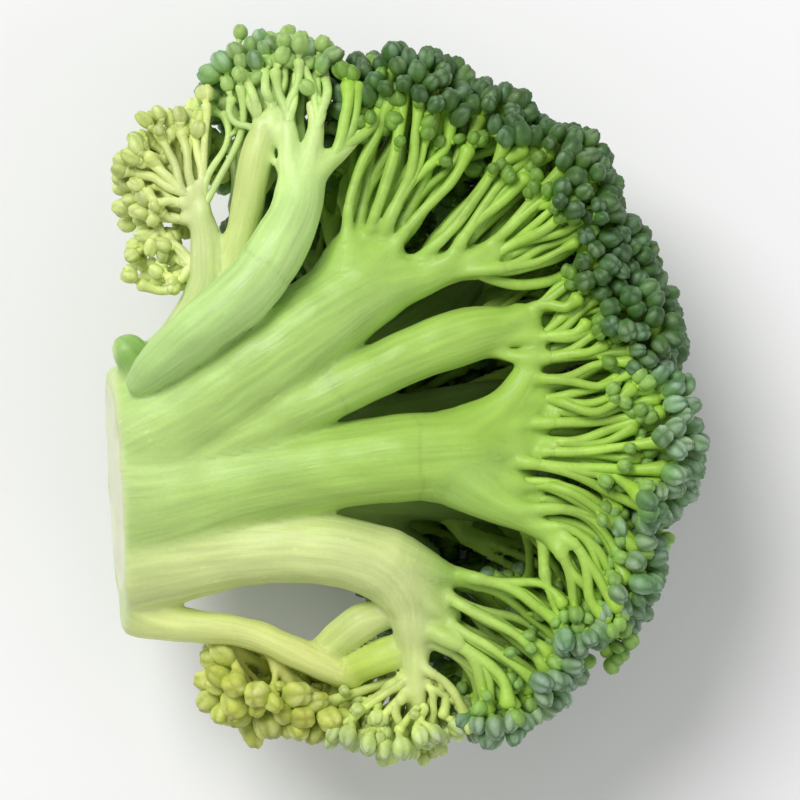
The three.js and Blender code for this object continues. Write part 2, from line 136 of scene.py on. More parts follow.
# The strands that lie open to view, cluster by cluster: height where they start and end, how much shorter than
# the guides they are (mm), and guide lines on the same grid.
FANS = {
    "bud_cluster_top": [
        (27.3, 26.6, 0.0, [
            [(470, 498), (476, 439), (496, 373), (520, 321), (528, 262)],
            [(498, 502), (517, 432), (537, 373), (559, 321), (563, 266)],
            [(528, 502), (553, 428), (572, 373), (581, 321), (596, 270)],
            [(548, 494), (590, 413), (612, 365), (627, 318), (629, 277)],
            [(557, 509), (609, 435), (640, 384), (658, 340), (671, 299)],
            [(572, 524), (631, 461), (669, 415), (692, 375), (712, 336)],
        ]),
        (28.6, 27.2, 0.0, [
            [(420, 384), (440, 346), (456, 303), (470, 260), (483, 218)],
            [(432, 380), (462, 344), (486, 310), (502, 272), (512, 238)],
            [(438, 384), (474, 350), (502, 322), (522, 296), (536, 262)],
        ]),
    ],
    "bud_cluster_top_right": [
        (26.9, 26.4, 0.0, [
            [(601, 535), (660, 480), (704, 432), (734, 391), (760, 351)],
            [(638, 542), (679, 489), (715, 439), (749, 395), (785, 362)],
            [(675, 539), (708, 489), (741, 452), (774, 415), (809, 380)],
            [(708, 537), (741, 498), (776, 459), (808, 428), (844, 399)],
            [(730, 537), (774, 507), (817, 478), (854, 450), (883, 426)],
            [(738, 544), (789, 518), (835, 496), (870, 476), (902, 454)],
            [(745, 557), (795, 540), (837, 525), (872, 511), (905, 491)],
            [(745, 568), (785, 566), (826, 557), (863, 546), (896, 524)],
        ]),
        (25.6, 24.6, 0.0, [
            [(712, 568), (760, 587), (808, 598), (859, 590), (900, 561)],
        ]),
    ],
    "bud_cluster_right_upper": [
        (25.9, 26.2, 0.0, [
            [(792, 634), (825, 615), (866, 597), (910, 571)],
            [(805, 652), (836, 637), (869, 623), (903, 604)],
            [(814, 678), (844, 667), (873, 656), (906, 641)],
            [(818, 700), (851, 693), (884, 685), (925, 671)],
            [(818, 718), (858, 715), (903, 707), (947, 693)],
            [(818, 737), (862, 735), (914, 726), (969, 707)],
        ]),
    ],
    "bud_cluster_right": [
        (27.2, 26.8, 0.5, [
            [(825, 755), (877, 752), (925, 742), (969, 733), (1006, 729)],
            [(825, 774), (877, 776), (921, 777), (962, 763), (1002, 748)],
            [(811, 803), (869, 812), (914, 811), (958, 792), (998, 776)],
            [(799, 836), (855, 836), (910, 833), (962, 811), (1006, 798)],
            [(796, 858), (847, 860), (906, 851), (958, 833), (1009, 825)],
            [(796, 881), (855, 888), (906, 892), (965, 881), (1013, 858)],
            [(785, 895), (855, 899), (921, 906), (973, 910), (1024, 906)],
            [(777, 908), (855, 914), (932, 923), (991, 939), (1061, 951)],
            [(777, 923), (855, 930), (932, 945), (995, 965), (1050, 982)],
        ]),
    ],
    "bud_cluster_right_lower": [
        (27.2, 26.2, 0.5, [
            [(771, 936), (845, 939), (919, 965), (985, 1002), (1037, 1032)],
            [(783, 962), (849, 960), (911, 982), (974, 1021), (1018, 1061)],
            [(797, 995), (860, 997), (919, 1009), (970, 1046), (1011, 1087)],
            [(816, 1017), (875, 1017), (937, 1037), (978, 1076), (1004, 1113)],
            [(834, 1032), (889, 1037), (941, 1072), (967, 1116), (989, 1153)],
            [(845, 1043), (895, 1061), (928, 1102), (946, 1149), (972, 1186)],
            [(853, 1054), (889, 1087), (911, 1138), (930, 1186), (952, 1219)],
            [(853, 1065), (871, 1120), (886, 1179), (899, 1223), (919, 1249)],
        ]),
        (26.9, 25.6, 0.5, [
            [(790, 947), (864, 951), (919, 984), (970, 1032), (989, 1079), (1015, 1105)],
        ]),
    ],
    "bud_cluster_bottom_right": [
        (25.3, 24.8, 0.6, [
            [(701, 1109), (753, 1116), (808, 1131), (856, 1157), (886, 1186)],
            [(679, 1131), (738, 1149), (797, 1168), (849, 1201), (882, 1231)],
            [(668, 1157), (724, 1186), (783, 1216), (834, 1245), (871, 1271)],
            [(657, 1175), (709, 1216), (768, 1245), (819, 1275), (853, 1301)],
            [(635, 1183), (679, 1223), (738, 1260), (786, 1297), (816, 1334)],
            [(624, 1201), (668, 1234), (727, 1271), (764, 1315), (783, 1363)],
            [(630, 1234), (679, 1254), (724, 1289), (749, 1337), (755, 1389)],
            [(633, 1264), (676, 1282), (709, 1315), (724, 1359), (727, 1400)],
        ]),
    ],
    "bud_cluster_bottom": [
        (24.2, 23.4, 2.6, [
            [(631, 1293), (661, 1308), (683, 1341), (694, 1378), (696, 1411)],
            [(624, 1315), (646, 1334), (661, 1367), (668, 1400), (668, 1429)],
            [(617, 1341), (628, 1363), (635, 1393), (639, 1422), (637, 1448)],
            [(606, 1348), (606, 1378), (606, 1407), (604, 1437), (600, 1463)],
            [(595, 1348), (587, 1374), (578, 1404), (571, 1433), (563, 1459)],
            [(587, 1337), (571, 1359), (554, 1389), (541, 1418), (530, 1444)],
            [(584, 1323), (561, 1341), (539, 1367), (523, 1396), (510, 1422)],
            [(582, 1308), (556, 1323), (530, 1345), (510, 1371), (495, 1396)],
        ]),
    ],
    "bud_cluster_top_left": [
        (27.6, 26.8, 1.6, [
            [(217, 443), (236, 380), (254, 340), (262, 299), (254, 248)],
        ]),
        (27.2, 26.8, 1.0, [
            [(214, 452), (244, 400), (266, 352), (281, 300), (284, 250), (282, 210)],
        ]),
        (27.6, 26.9, 1.2, [
            [(316, 322), (300, 300), (281, 294), (270, 275), (266, 245), (258, 218)],
        ]),
        (27.8, 26.8, 1.6, [
            [(312, 330), (300, 285), (288, 240), (272, 189)],
            [(322, 306), (313, 262), (298, 222), (284, 182)],
            [(334, 284), (326, 244), (317, 205), (306, 168)],
            [(346, 272), (344, 233), (341, 196), (335, 157)],
            [(352, 266), (362, 228), (370, 190), (374, 152)],
        ]),
        (28.6, 27.4, 1.8, [
            [(372, 340), (362, 296), (352, 250), (346, 205), (350, 165)],
            [(373, 330), (374, 285), (380, 242), (386, 200), (392, 160)],
            [(416, 330), (416, 285), (406, 240), (400, 200), (409, 165)],
            [(420, 320), (434, 280), (446, 240), (449, 196), (442, 152)],
        ]),
    ],
    "bud_cluster_left": [
        (27.2, 26.4, 2.6, [
            [(212, 432), (221, 380), (229, 329), (228, 284), (208, 248), (193, 225)],
            [(206, 428), (201, 384), (201, 343), (199, 307), (186, 273)],
            [(199, 424), (177, 384), (166, 351), (164, 318), (168, 284)],
            [(193, 428), (158, 406), (136, 380), (129, 351), (127, 325)],
            [(192, 435), (151, 417), (120, 391), (105, 362), (98, 336)],
            [(190, 450), (144, 435), (107, 428), (74, 424)],
            [(192, 465), (144, 454), (103, 450), (66, 447)],
            [(195, 483), (151, 472), (111, 469), (70, 469)],
        ]),
        (26.4, 25.4, 2.4, [
            [(210, 539), (166, 524), (122, 517), (79, 524)],
            [(210, 564), (166, 557), (125, 546), (96, 542)],
            [(212, 587), (169, 579), (136, 572), (111, 561)],
        ]),
        (25.4, 25.0, 2.0, [
            [(206, 594), (155, 590), (103, 587), (59, 605)],
        ]),
    ],
}
# the larger branches that open strands also grow from
BEHIND = {
    "bud_cluster_top": ["upper", "tongue_right"],
    "bud_cluster_top_right": ["upper", "upper_top2"],
    "bud_cluster_right_upper": ["right"],
    "bud_cluster_right": ["right", "right_low2"],
    "bud_cluster_right_lower": ["right", "right_mid"],
    "bud_cluster_bottom_right": ["lower", "lower_down"],
    "bud_cluster_bottom": ["lower"],
    "bud_cluster_top_left": ["left"],
}
# base, side and tip colour of a bud, and the greyish bloom on it
BUD_COLOURS = {
    "dark": (lin(132, 174, 66), lin(82, 124, 52), lin(60, 98, 46), lin(122, 152, 112)),
    "blue": (lin(150, 190, 86), lin(110, 154, 84), lin(92, 134, 84), lin(166, 190, 162)),
    "light": (lin(180, 212, 116), lin(146, 188, 108), lin(128, 172, 110), lin(184, 208, 168)),
    "pale": (lin(212, 228, 138), lin(190, 214, 122), lin(172, 200, 114), lin(208, 222, 182)),
    "young": (lin(226, 238, 152), lin(210, 228, 130), lin(194, 216, 112), lin(220, 232, 164)),
    "yellow": (lin(206, 220, 108), lin(194, 208, 92), lin(190, 198, 80), lin(214, 224, 140)),
}
STRAND_COLOURS = {
    "dark": (lin(186, 220, 106), lin(160, 204, 68)),
    "blue": (lin(186, 220, 106), lin(162, 204, 70)),
    "light": (lin(208, 233, 156), lin(194, 224, 128)),
    "pale": (lin(220, 232, 144), lin(208, 226, 120)),
    "young": (lin(230, 242, 176), lin(220, 232, 140)),
    "yellow": (lin(224, 228, 140), lin(212, 216, 104)),
}
# how much darker the strands are painted low down, as painted shade from the others above them: at 19 mm and at 26 mm;
# the young ones get a little painted light high up instead
PAINTED_DEPTH_SHADE = {"dark": (0.84, 1.0), "blue": (0.84, 1.0), "light": (0.9, 1.0), "pale": (0.85, 1.0), "young": (1.0, 1.04), "yellow": (0.9, 1.0)}


# ------------------------------------------------------------------ curves and noise
def unit(v):
    v = np.asarray(v, float)
    return v / np.maximum(np.linalg.norm(v, axis=-1, keepdims=True), 1e-9)


def smooth_line(points, step=1.0):
    """A centripetal curve through (x, y, z, r) points, sampled about every step mm."""
    p = np.asarray(points, float)
    if len(p) == 2:
        n = max(3, int(np.linalg.norm(p[1, :3] - p[0, :3]) / step) + 1)
        t = np.linspace(0, 1, n)[:, None]
        return p[0] * (1 - t) + p[1] * t
    q = np.vstack([2 * p[0] - p[1], p, 2 * p[-1] - p[-2]])
    knots = np.concatenate([[0], np.cumsum(np.linalg.norm(np.diff(q[:, :3], axis=0), axis=1) ** 0.5)])
    out = []
    for i in range(1, len(q) - 2):
        t0, t1, t2, t3 = knots[i - 1 : i + 3]
        n = max(2, int(np.linalg.norm(q[i + 1, :3] - q[i, :3]) / step) + 1)
        t = np.linspace(t1, t2, n, endpoint=False)[:, None]
        a1 = (t1 - t) / (t1 - t0) * q[i - 1] + (t - t0) / (t1 - t0) * q[i]
        a2 = (t2 - t) / (t2 - t1) * q[i] + (t - t1) / (t2 - t1) * q[i + 1]
        a3 = (t3 - t) / (t3 - t2) * q[i + 1] + (t - t2) / (t3 - t2) * q[i + 2]
        b1 = (t2 - t) / (t2 - t0) * a1 + (t - t0) / (t2 - t0) * a2
        b2 = (t3 - t) / (t3 - t1) * a2 + (t - t1) / (t3 - t1) * a3
        out.append((t2 - t) / (t2 - t1) * b1 + (t - t1) / (t2 - t1) * b2)
    out.append(q[-2][None])
    return np.vstack(out)


def hermite(p0, p1, d0, d1, n):
    t = np.linspace(0, 1, n)[:, None]
    return (2 * t**3 - 3 * t**2 + 1) * p0 + (t**3 - 2 * t**2 + t) * d0 + (-2 * t**3 + 3 * t**2) * p1 + (t**3 - t**2) * d1


WAVES = np.random.default_rng(5)
WAVE_K = unit(WAVES.normal(size=(24, 3)))
WAVE_P = WAVES.uniform(0, 2 * math.pi, 24)
WAVE_F = WAVES.uniform(0.7, 1.5, 24)


def ripple(p, length):
    """A smooth random field of about unit size with features of that length."""
    return np.sin(p @ (WAVE_K * (WAVE_F * 2 * math.pi / length)[:, None]).T + WAVE_P).sum(1) / math.sqrt(12.0)


# ------------------------------------------------------------------ one smooth skin around many branches
def skin(branches, h, cut=None, soften=False):
    """Surface nets around branches [(points (n, 4), blend)], as vertices and quads. They fuse like grown tissue."""
    every = np.vstack([b[0] for b in branches])
    pad = every[:, 3].max() + 3 * h + 0.6
    lo = np.floor((every[:, :3].min(0) - pad) / h) * h
    n = np.ceil((every[:, :3].max(0) + pad - lo) / h).astype(int) + 1
    field = np.full(n, 50.0, np.float32)
    axes = [lo[i] + h * np.arange(n[i]) for i in range(3)]
    for line, k in branches:
        reach = k + 2.5 * h
        r = line[:, 3].max() + reach
        i0 = np.maximum(np.floor((line[:, :3].min(0) - r - lo) / h).astype(int), 0)
        i1 = np.minimum(np.ceil((line[:, :3].max(0) + r - lo) / h).astype(int) + 1, n)
        own = np.full(i1 - i0, 50.0, np.float32)
        for a, b in zip(line[:-1], line[1:]):
            rr = max(a[3], b[3]) + reach
            j0 = np.maximum(np.floor((np.minimum(a[:3], b[:3]) - rr - lo) / h).astype(int), i0)
            j1 = np.minimum(np.ceil((np.maximum(a[:3], b[:3]) + rr - lo) / h).astype(int) + 1, i1)
            if (j1 <= j0).any():
                continue
            x = (axes[0][j0[0] : j1[0]] - a[0])[:, None, None]
            y = (axes[1][j0[1] : j1[1]] - a[1])[None, :, None]
            z = (axes[2][j0[2] : j1[2]] - a[2])[None, None, :]
            d = b[:3] - a[:3]
            t = np.clip((x * d[0] + y * d[1] + z * d[2]) / max(d @ d, 1e-9), 0, 1)
            dist = np.sqrt((x - t * d[0]) ** 2 + (y - t * d[1]) ** 2 + (z - t * d[2]) ** 2) - (a[3] + t * (b[3] - a[3]))
            s = tuple(slice(j0[i] - i0[i], j1[i] - i0[i]) for i in range(3))
            own[s] = np.minimum(own[s], dist)
        s = tuple(slice(i0[i], i1[i]) for i in range(3))
        old = field[s]
        soft = np.maximum(k - np.abs(old - own), 0) / k
        field[s] = np.minimum(old, own) - soft * soft * k * 0.25
    if soften:
        for i in range(3):
            a = [slice(None)] * 3
            b, c = list(a), list(a)
            a[i], b[i], c[i] = slice(1, -1), slice(0, -2), slice(2, None)
            field[tuple(a)] = 0.7 * field[tuple(a)] + 0.15 * (field[tuple(b)] + field[tuple(c)])
    if cut is not None:
        point, normal = cut
        plane = (
            (axes[0] - point[0])[:, None, None] * normal[0]
            + (axes[1] - point[1])[None, :, None] * normal[1]
            + (axes[2] - point[2])[None, None, :] * normal[2]
        )
        soft = np.maximum(0.7 - np.abs(field - plane), 0) / 0.7
        field = (np.maximum(field, plane) + soft * soft * 0.7 * 0.25).astype(np.float32)
    return nets(field, lo, h)


def nets(f, lo, h):
    inside = f < 0
    corner = [(i, j, k) for i in (0, 1) for j in (0, 1) for k in (0, 1)]
    m = tuple(s - 1 for s in f.shape)
    count = np.zeros(m, np.int8)
    for i, j, k in corner:
        count += inside[i : i + m[0], j : j + m[1], k : k + m[2]]
    cells = np.argwhere((count > 0) & (count < 8))
    index = np.full(m, -1, np.int64)
    index[tuple(cells.T)] = np.arange(len(cells))
    value = np.stack([f[cells[:, 0] + i, cells[:, 1] + j, cells[:, 2] + k] for i, j, k in corner], 1).astype(float)
    total = np.zeros((len(cells), 3))
    hits = np.zeros(len(cells))
    for a in range(8):
        for b in range(a + 1, 8):
            ca, cb = np.array(corner[a]), np.array(corner[b])
            if np.abs(ca - cb).sum() != 1:
                continue
            va, vb = value[:, a], value[:, b]
            cross = (va < 0) != (vb < 0)
            t = np.where(cross, va / np.where(cross, va - vb, 1), 0)
            total += np.where(cross[:, None], ca + t[:, None] * (cb - ca), 0)
            hits += cross
    verts = lo + h * (cells + total / hits[:, None])
    quads = []
    for axis in range(3):
        u, v = (axis + 1) % 3, (axis + 2) % 3
        a = [slice(None)] * 3
        b = [slice(None)] * 3
        a[axis], b[axis] = slice(0, -1), slice(1, None)
        change = inside[tuple(a)] != inside[tuple(b)]
        e = np.argwhere(change)
        e = e[(e[:, u] > 0) & (e[:, v] > 0) & (e[:, u] < m[u]) & (e[:, v] < m[v])]
        du, dv = np.eye(3, dtype=int)[u], np.eye(3, dtype=int)[v]
        ring = [e - du - dv, e - dv, e, e - du]
        q = np.stack([index[tuple(c.T)] for c in ring], 1)
        out = inside[tuple(e.T)]
        q[~out] = q[~out][:, ::-1]
        quads.append(q)
    quads = np.vstack(quads)
    # two gentle passes of smoothing, out and back, so that the shape keeps its size
    edges = np.unique(np.sort(np.vstack([quads[:, [0, 1]], quads[:, [1, 2]], quads[:, [2, 3]], quads[:, [3, 0]]]), axis=1), axis=0)
    degree = np.bincount(edges.ravel(), minlength=len(verts))[:, None]
    for w in (0.55, -0.57, 0.55, -0.57):
        mean = np.zeros_like(verts)
        for c in range(3):
            mean[:, c] = np.bincount(edges[:, 0], verts[edges[:, 1], c], len(verts)) + np.bincount(edges[:, 1], verts[edges[:, 0], c], len(verts))
        verts = verts + w * (mean / np.maximum(degree, 1) - verts)
    return verts, quads


def branch_colour(verts, branches, sharp=0.7, fibre=0.0, fibred=99):
    """Colour of skin vertices from the nearest branches: [(line, start colour, end colour)]."""
    weight = np.zeros(len(verts))
    colour = np.zeros((len(verts), 3))
    nearest, second, grain, seed = np.zeros(len(verts)), np.zeros(len(verts)), np.zeros((len(verts), 3)), 0
    for count, (line, c0, c1) in enumerate(branches):
        r = line[:, 3].max() + 2.5
        near = np.where(((verts > line[:, :3].min(0) - r) & (verts < line[:, :3].max(0) + r)).all(1))[0]
        if not len(near):
            continue
        p = verts[near]
        best = np.full(len(near), 1e9)
        where = np.zeros(len(near))
        turn = np.zeros(len(near))
        for i in range(len(line) - 1):
            a, b = line[i], line[i + 1]
            d = b[:3] - a[:3]
            t = np.clip((p - a[:3]) @ d / max(d @ d, 1e-9), 0, 1)
            dist = np.linalg.norm(p - a[:3] - t[:, None] * d, axis=1) - (a[3] + t * (b[3] - a[3]))
            better = dist < best
            best = np.where(better, dist, best)
            where = np.where(better, (i + t) / (len(line) - 1), where)
            if fibre:
                side = unit(np.cross(d, (0.02, 0.03, 1.0)))
                rise = np.cross(side, unit(d))
                rel = p - a[:3] - t[:, None] * d
                turn = np.where(better, np.arctan2(rel @ side, rel @ rise) * line[:, 3].mean(), turn)
        w = np.exp(-np.clip(best, -0.3, 9) / sharp * 2.0)
        weight[near] += w
        far = where[:, None] ** 0.7
        own = c0 * (1 - far) + c1 * far
        if fibre:
            # faint lines along the branch, as its fibres show through the skin
            along = where * len(line)
            lines = sum(np.sin(turn * 2 * math.pi / size + phase + 0.9 * np.sin(along / run + phase)) for size, phase, run in ((1.3, 0.4, 5.0), (2.1, 1.9, 7.0), (3.4, 4.0, 9.0), (1.0, 2.7, 4.0)))
            own = own * (1 + fibre * (0.5 if count < fibred else 0.2) * lines)[:, None]
        colour[near] += w[:, None] * own
        if fibre:
            closer = w > nearest[near]
            second[near] = np.where(closer, nearest[near], np.maximum(second[near], w))
            nearest[near] = np.maximum(nearest[near], w)
            grain[near[closer]] = np.column_stack([turn + 31.0 * seed, where * len(line), np.full(len(near), float(count < fibred))])[closer]
            seed += 1
    grain[:, 2] *= np.clip(1.6 * (1 - second / np.maximum(nearest, 1e-9)), 0, 1)
    colour = colour / np.maximum(weight, 1e-9)[:, None]
    return (colour, grain) if fibre else colour


# ------------------------------------------------------------------ tubes and buds
def tubes(paths, radii, sides):
    """Closed tubes along paths (N, n, 3) with radii (N, n). Returns vertices, faces and each vertex's place along its tube."""
    count, n, _ = paths.shape
    tangent = unit(np.gradient(paths, axis=1))
    start = np.cross(tangent[:, 0], np.array([0.31, 0.17, 0.93]))
    normal = unit(start)
    ring = np.linspace(0, 2 * math.pi, sides, endpoint=False)
    verts = np.zeros((count, n * sides + 2, 3))
    for i in range(n):
        normal = unit(normal - (normal * tangent[:, i]).sum(1, keepdims=True) * tangent[:, i])
        side = np.cross(tangent[:, i], normal)
        circle = np.cos(ring)[None, :, None] * normal[:, None] + np.sin(ring)[None, :, None] * side[:, None]
        verts[:, i * sides : (i + 1) * sides] = paths[:, i, None] + circle * radii[:, i, None, None]
    verts[:, -2] = paths[:, 0]
    verts[:, -1] = paths[:, -1]
    quads, tris = [], []
    for i in range(n - 1):
        for j in range(sides):
            k = (j + 1) % sides
            quads.append((i * sides + j, i * sides + k, (i + 1) * sides + k, (i + 1) * sides + j))
    for j in range(sides):
        k = (j + 1) % sides
        tris.append((n * sides, k, j))
        tris.append((n * sides + 1, (n - 1) * sides + j, (n - 1) * sides + k))
    step = (np.arange(count) * (n * sides + 2))[:, None, None]
    along = np.concatenate([np.repeat(np.linspace(0, 1, n), sides), [0, 1]])
    return (
        verts.reshape(-1, 3),
        (np.array(quads)[None] + step).reshape(-1, 4),
        (np.array(tris)[None] + step).reshape(-1, 3),
        np.tile(along, count),
    )


def bud_shape(around=12, rings=7):
    """A closed bud of unit width and height, four sepals that meet at the tip: vertices, quads, tris, height and seam of each vertex."""
    verts, height, seam = [(0, 0, 0.0)], [0.0], [0.0]
    for i in range(1, rings):
        v = i / rings
        a = math.pi * v
        wide = 0.5 * math.sin(a) ** 0.82 * (0.9 + 0.13 * math.sin(a * 0.95 + 0.35))
        z = 0.5 - 0.5 * math.cos(a)
        for j in range(around):
            th = 2 * math.pi * j / around
            off = (th / (math.pi / 2)) % 1.0
            off = min(off, 1 - off) * 90.0
            groove = math.exp(-((off / 13.0) ** 2))
            depth = 0.02 + 0.1 * max(0.0, v - 0.25) ** 0.8
            lobes = 1.0 + 0.035 * math.cos(4 * th + math.pi)
            w = wide * lobes * (1 - depth * groove)
            dip = -0.04 * groove * max(0.0, v - 0.45) * 2
            verts.append((w * math.cos(th), w * math.sin(th), z + dip))
            height.append(v)
            seam.append(groove)
    verts.append((0, 0, 0.93))
    height.append(1.0)
    seam.append(1.0)
    quads, tris = [], []
    for j in range(around):
        k = (j + 1) % around
        tris.append((0, 1 + k, 1 + j))
        for i in range(rings - 2):
            a, b = 1 + i * around, 1 + (i + 1) * around
            quads.append((a + j, a + k, b + k, b + j))
        a = 1 + (rings - 2) * around
        tris.append((len(verts) - 1, a + j, a + k))
    return np.array(verts), np.array(quads), np.array(tris), np.array(height), np.array(seam)


BUD = bud_shape()


def buds_mesh(pos, axis, width, length, lean):
    """Buds with their base at pos, pointing along axis, as one set of vertices and faces."""
    v, q, t, height, seam = BUD
    n = len(pos)
    up = unit(axis)
    side = unit(np.cross(up, rng.normal(size=(n, 3))))
    front = np.cross(up, side)
    local = np.repeat(v[None], n, 0) * np.stack([width, width, length], 1)[:, None]
    # a little bend and unevenness, so that no two are alike
    local[..., 0] += lean[:, 0, None] * local[..., 2] ** 2 / np.maximum(length[:, None], 1e-6)
    local[..., 1] += lean[:, 1, None] * local[..., 2] ** 2 / np.maximum(length[:, None], 1e-6)
    world = pos[:, None] + local[..., 0:1] * side[:, None] + local[..., 1:2] * front[:, None] + local[..., 2:3] * up[:, None]
    step = (np.arange(n) * len(v))[:, None, None]
    return world.reshape(-1, 3), (q[None] + step).reshape(-1, 4), (t[None] + step).reshape(-1, 3), np.tile(height, n), np.tile(seam, n), np.repeat(np.arange(n), len(v))


def groups_of(points, k):
    """k-means from well-spread first seeds: the group of each point."""
    k = max(1, min(k, len(points)))
    seeds = [int(np.argmin(points.sum(1)))]
    d = np.linalg.norm(points - points[seeds[0]], axis=1)
    for _ in range(k - 1):
        seeds.append(int(d.argmax()))
        d = np.minimum(d, np.linalg.norm(points - points[seeds[-1]], axis=1))
    centre = points[seeds].copy()
    for _ in range(15):
        g = np.linalg.norm(points[:, None] - centre[None], axis=2).argmin(1)
        for j in range(k):
            if (g == j).any():
                centre[j] = points[g == j].mean(0)
    return g


# ------------------------------------------------------------------ where the buds are
def place_buds():
    """Bud positions over the whole dome, at least a bud's width apart: cluster name to (points, normals)."""
    cand, norm, owner = [], [], []
    names = list(CLUSTERS)
    spheres = [(ci, c, r) for ci, name in enumerate(names) for c, r in [CLUSTERS[name][:2]] + LUMPS.get(name, [])]
    for si, (ci, c, r) in enumerate(spheres):
        name = names[ci]
        _, _, face, climb, feeds, kind = CLUSTERS[name]
        c, face = np.array(c), unit(face)
        m = 4200
        i = np.arange(m) + 0.5
        ph, th = np.arccos(1 - 2 * i / m), math.pi * (1 + 5**0.5) * i
        d = np.stack([np.cos(th) * np.sin(ph), np.sin(th) * np.sin(ph), np.cos(ph)], 1)
        rim = r - 1.0 + 0.45 * ripple(c + d * r, 9.0)
        p = c + d * rim[:, None]
        keep = np.ones(m, bool)
        if climb is not None:
            flat = unit(face * (1, 1, 0))
            az = np.degrees(np.arccos(np.clip((unit(d * (1, 1, 0)) * flat).sum(1), -1, 1)))
            el = np.degrees(np.arcsin(np.clip(d[:, 2], -1, 1)))
            wander = 9.0 * ripple(p, 7.0)
            limit = np.interp(az, [0, 50, 80, 110, 140, 180], [climb, climb - 8, climb - 34, -18, -52, -80])
            keep &= el + wander < limit
        else:
            keep &= (d * face).sum(1) > math.cos(math.radians(96))
        for sj, (_, oc, orr) in enumerate(spheres):
            if sj != si:
                keep &= np.linalg.norm(p - np.array(oc), axis=1) > orr - 1.9
        keep &= p[:, 2] > -2.6
        for line in LINES.values():
            keep &= (np.linalg.norm(p[:, None] - line[None, :, :3], axis=2) - line[None, :, 3]).min(1) > (0.4 if kind in ("young", "yellow", "pale") else 0.9)
        if name == "bud_cluster_bottom":
            keep &= (p[:, 1] < -25.5) | (p[:, 0] > 1.0)
        if name == "bud_cluster_side_shoot":
            keep &= p[:, 1] < np.interp(p[:, 0], [-20, -14, -6], [-23.2, -24.0, -26.5])
        flat_on = p[:, 2] < 1.0
        d = np.where(flat_on[:, None], unit(d * (0.35, 0.35, 1.0)), d)
        p[:, 2] = np.maximum(p[:, 2], 1.0)
        cand.append(p[keep])
        norm.append(d[keep])
        owner.append(np.full(keep.sum(), ci))
    cand, norm, owner = np.vstack(cand), np.vstack(norm), np.concatenate(owner)
    order = rng.permutation(len(cand))
    gap = np.array([{"young": 1.06, "yellow": 1.7, "light": 1.45, "pale": 1.45}.get(CLUSTERS[names[o]][5], 1.38) for o in owner])
    cells, taken = {}, []
    for i in order:
        p = cand[i]
        key = tuple((p // 2.0).astype(int))
        clash = False
        for a in (-1, 0, 1):
            for b in (-1, 0, 1):
                for c in (-1, 0, 1):
                    for j in cells.get((key[0] + a, key[1] + b, key[2] + c), ()):
                        if ((cand[j] - p) ** 2).sum() < (0.5 * (gap[i] + gap[j])) ** 2:
                            clash = True
                            break
                    if clash:
                        break
                if clash:
                    break
            if clash:
                break
        if not clash:
            cells.setdefault(key, []).append(i)
            taken.append(i)
    taken = np.array(sorted(taken))
    return {name: (cand[taken[owner[taken] == ci]], norm[taken[owner[taken] == ci]]) for ci, name in enumerate(names)}


# ------------------------------------------------------------------ materials
def new_material(name):
    m = bpy.data.materials.new(name)
    m.use_nodes = True
    return m, m.node_tree.nodes, m.node_tree.links, m.node_tree.nodes["Principled BSDF"]


def skin_material(name, rough, streak, bump_size, bump, sss):
    """Waxy plant skin: grown-in colour, cloudy and grainy variation of it, fine pores, light that goes a little way in."""
    m, nodes, links, bsdf = new_material(name)
    col = nodes.new("ShaderNodeVertexColor")
    col.layer_name = "Col"
    geo = nodes.new("ShaderNodeTexCoord")
    cloud = nodes.new("ShaderNodeTexNoise")
    cloud.inputs["Scale"].default_value = 260.0
    cloud.inputs["Detail"].default_value = 3.0
    grain = nodes.new("ShaderNodeTexNoise")
    grain.inputs["Scale"].default_value = bump_size
    grain.inputs["Detail"].default_value = 2.0
    for n in (cloud, grain):
        links.new(geo.outputs["Object"], n.inputs["Vector"])
    ramp = nodes.new("ShaderNodeMapRange")
    ramp.inputs["From Min"].default_value = 0.3
    ramp.inputs["From Max"].default_value = 0.7
    ramp.inputs["To Min"].default_value = 1.0 - streak
    ramp.inputs["To Max"].default_value = 1.0 + streak * 0.6
    links.new(cloud.outputs["Fac"], ramp.inputs["Value"])
    ramp2 = nodes.new("ShaderNodeMapRange")
    ramp2.inputs["From Min"].default_value = 0.3
    ramp2.inputs["From Max"].default_value = 0.7
    ramp2.inputs["To Min"].default_value = 1.0 - streak * 0.5
    ramp2.inputs["To Max"].default_value = 1.0 + streak * 0.4
    links.new(grain.outputs["Fac"], ramp2.inputs["Value"])
    both = nodes.new("ShaderNodeMath")
    both.operation = "MULTIPLY"
    links.new(ramp.outputs["Result"], both.inputs[0])
    links.new(ramp2.outputs["Result"], both.inputs[1])
    tint = nodes.new("ShaderNodeVectorMath")
    tint.operation = "SCALE"
    links.new(col.outputs["Color"], tint.inputs[0])
    links.new(both.outputs["Value"], tint.inputs["Scale"])
    links.new(tint.outputs["Vector"], bsdf.inputs["Base Color"])
    wax = nodes.new("ShaderNodeMapRange")
    wax.inputs["From Min"].default_value = 0.3
    wax.inputs["From Max"].default_value = 0.7
    wax.inputs["To Min"].default_value = rough - 0.07
    wax.inputs["To Max"].default_value = rough + 0.1
    links.new(cloud.outputs["Fac"], wax.inputs["Value"])
    links.new(wax.outputs["Result"], bsdf.inputs["Roughness"])
    b = nodes.new("ShaderNodeBump")
    b.inputs["Strength"].default_value = bump
    b.inputs["Distance"].default_value = 0.0001
    links.new(grain.outputs["Fac"], b.inputs["Height"])
    links.new(b.outputs["Normal"], bsdf.inputs["Normal"])
    bsdf.inputs["Subsurface Weight"].default_value = sss
    bsdf.inputs["Subsurface Radius"].default_value = (0.7, 1.0, 0.25)
    bsdf.inputs["Subsurface Scale"].default_value = 0.0012
    bsdf.inputs["Specular IOR Level"].default_value = 0.42
    return m


SKIN = skin_material("stalk_skin", 0.42, 0.035, 2600.0, 0.25, 0.35)


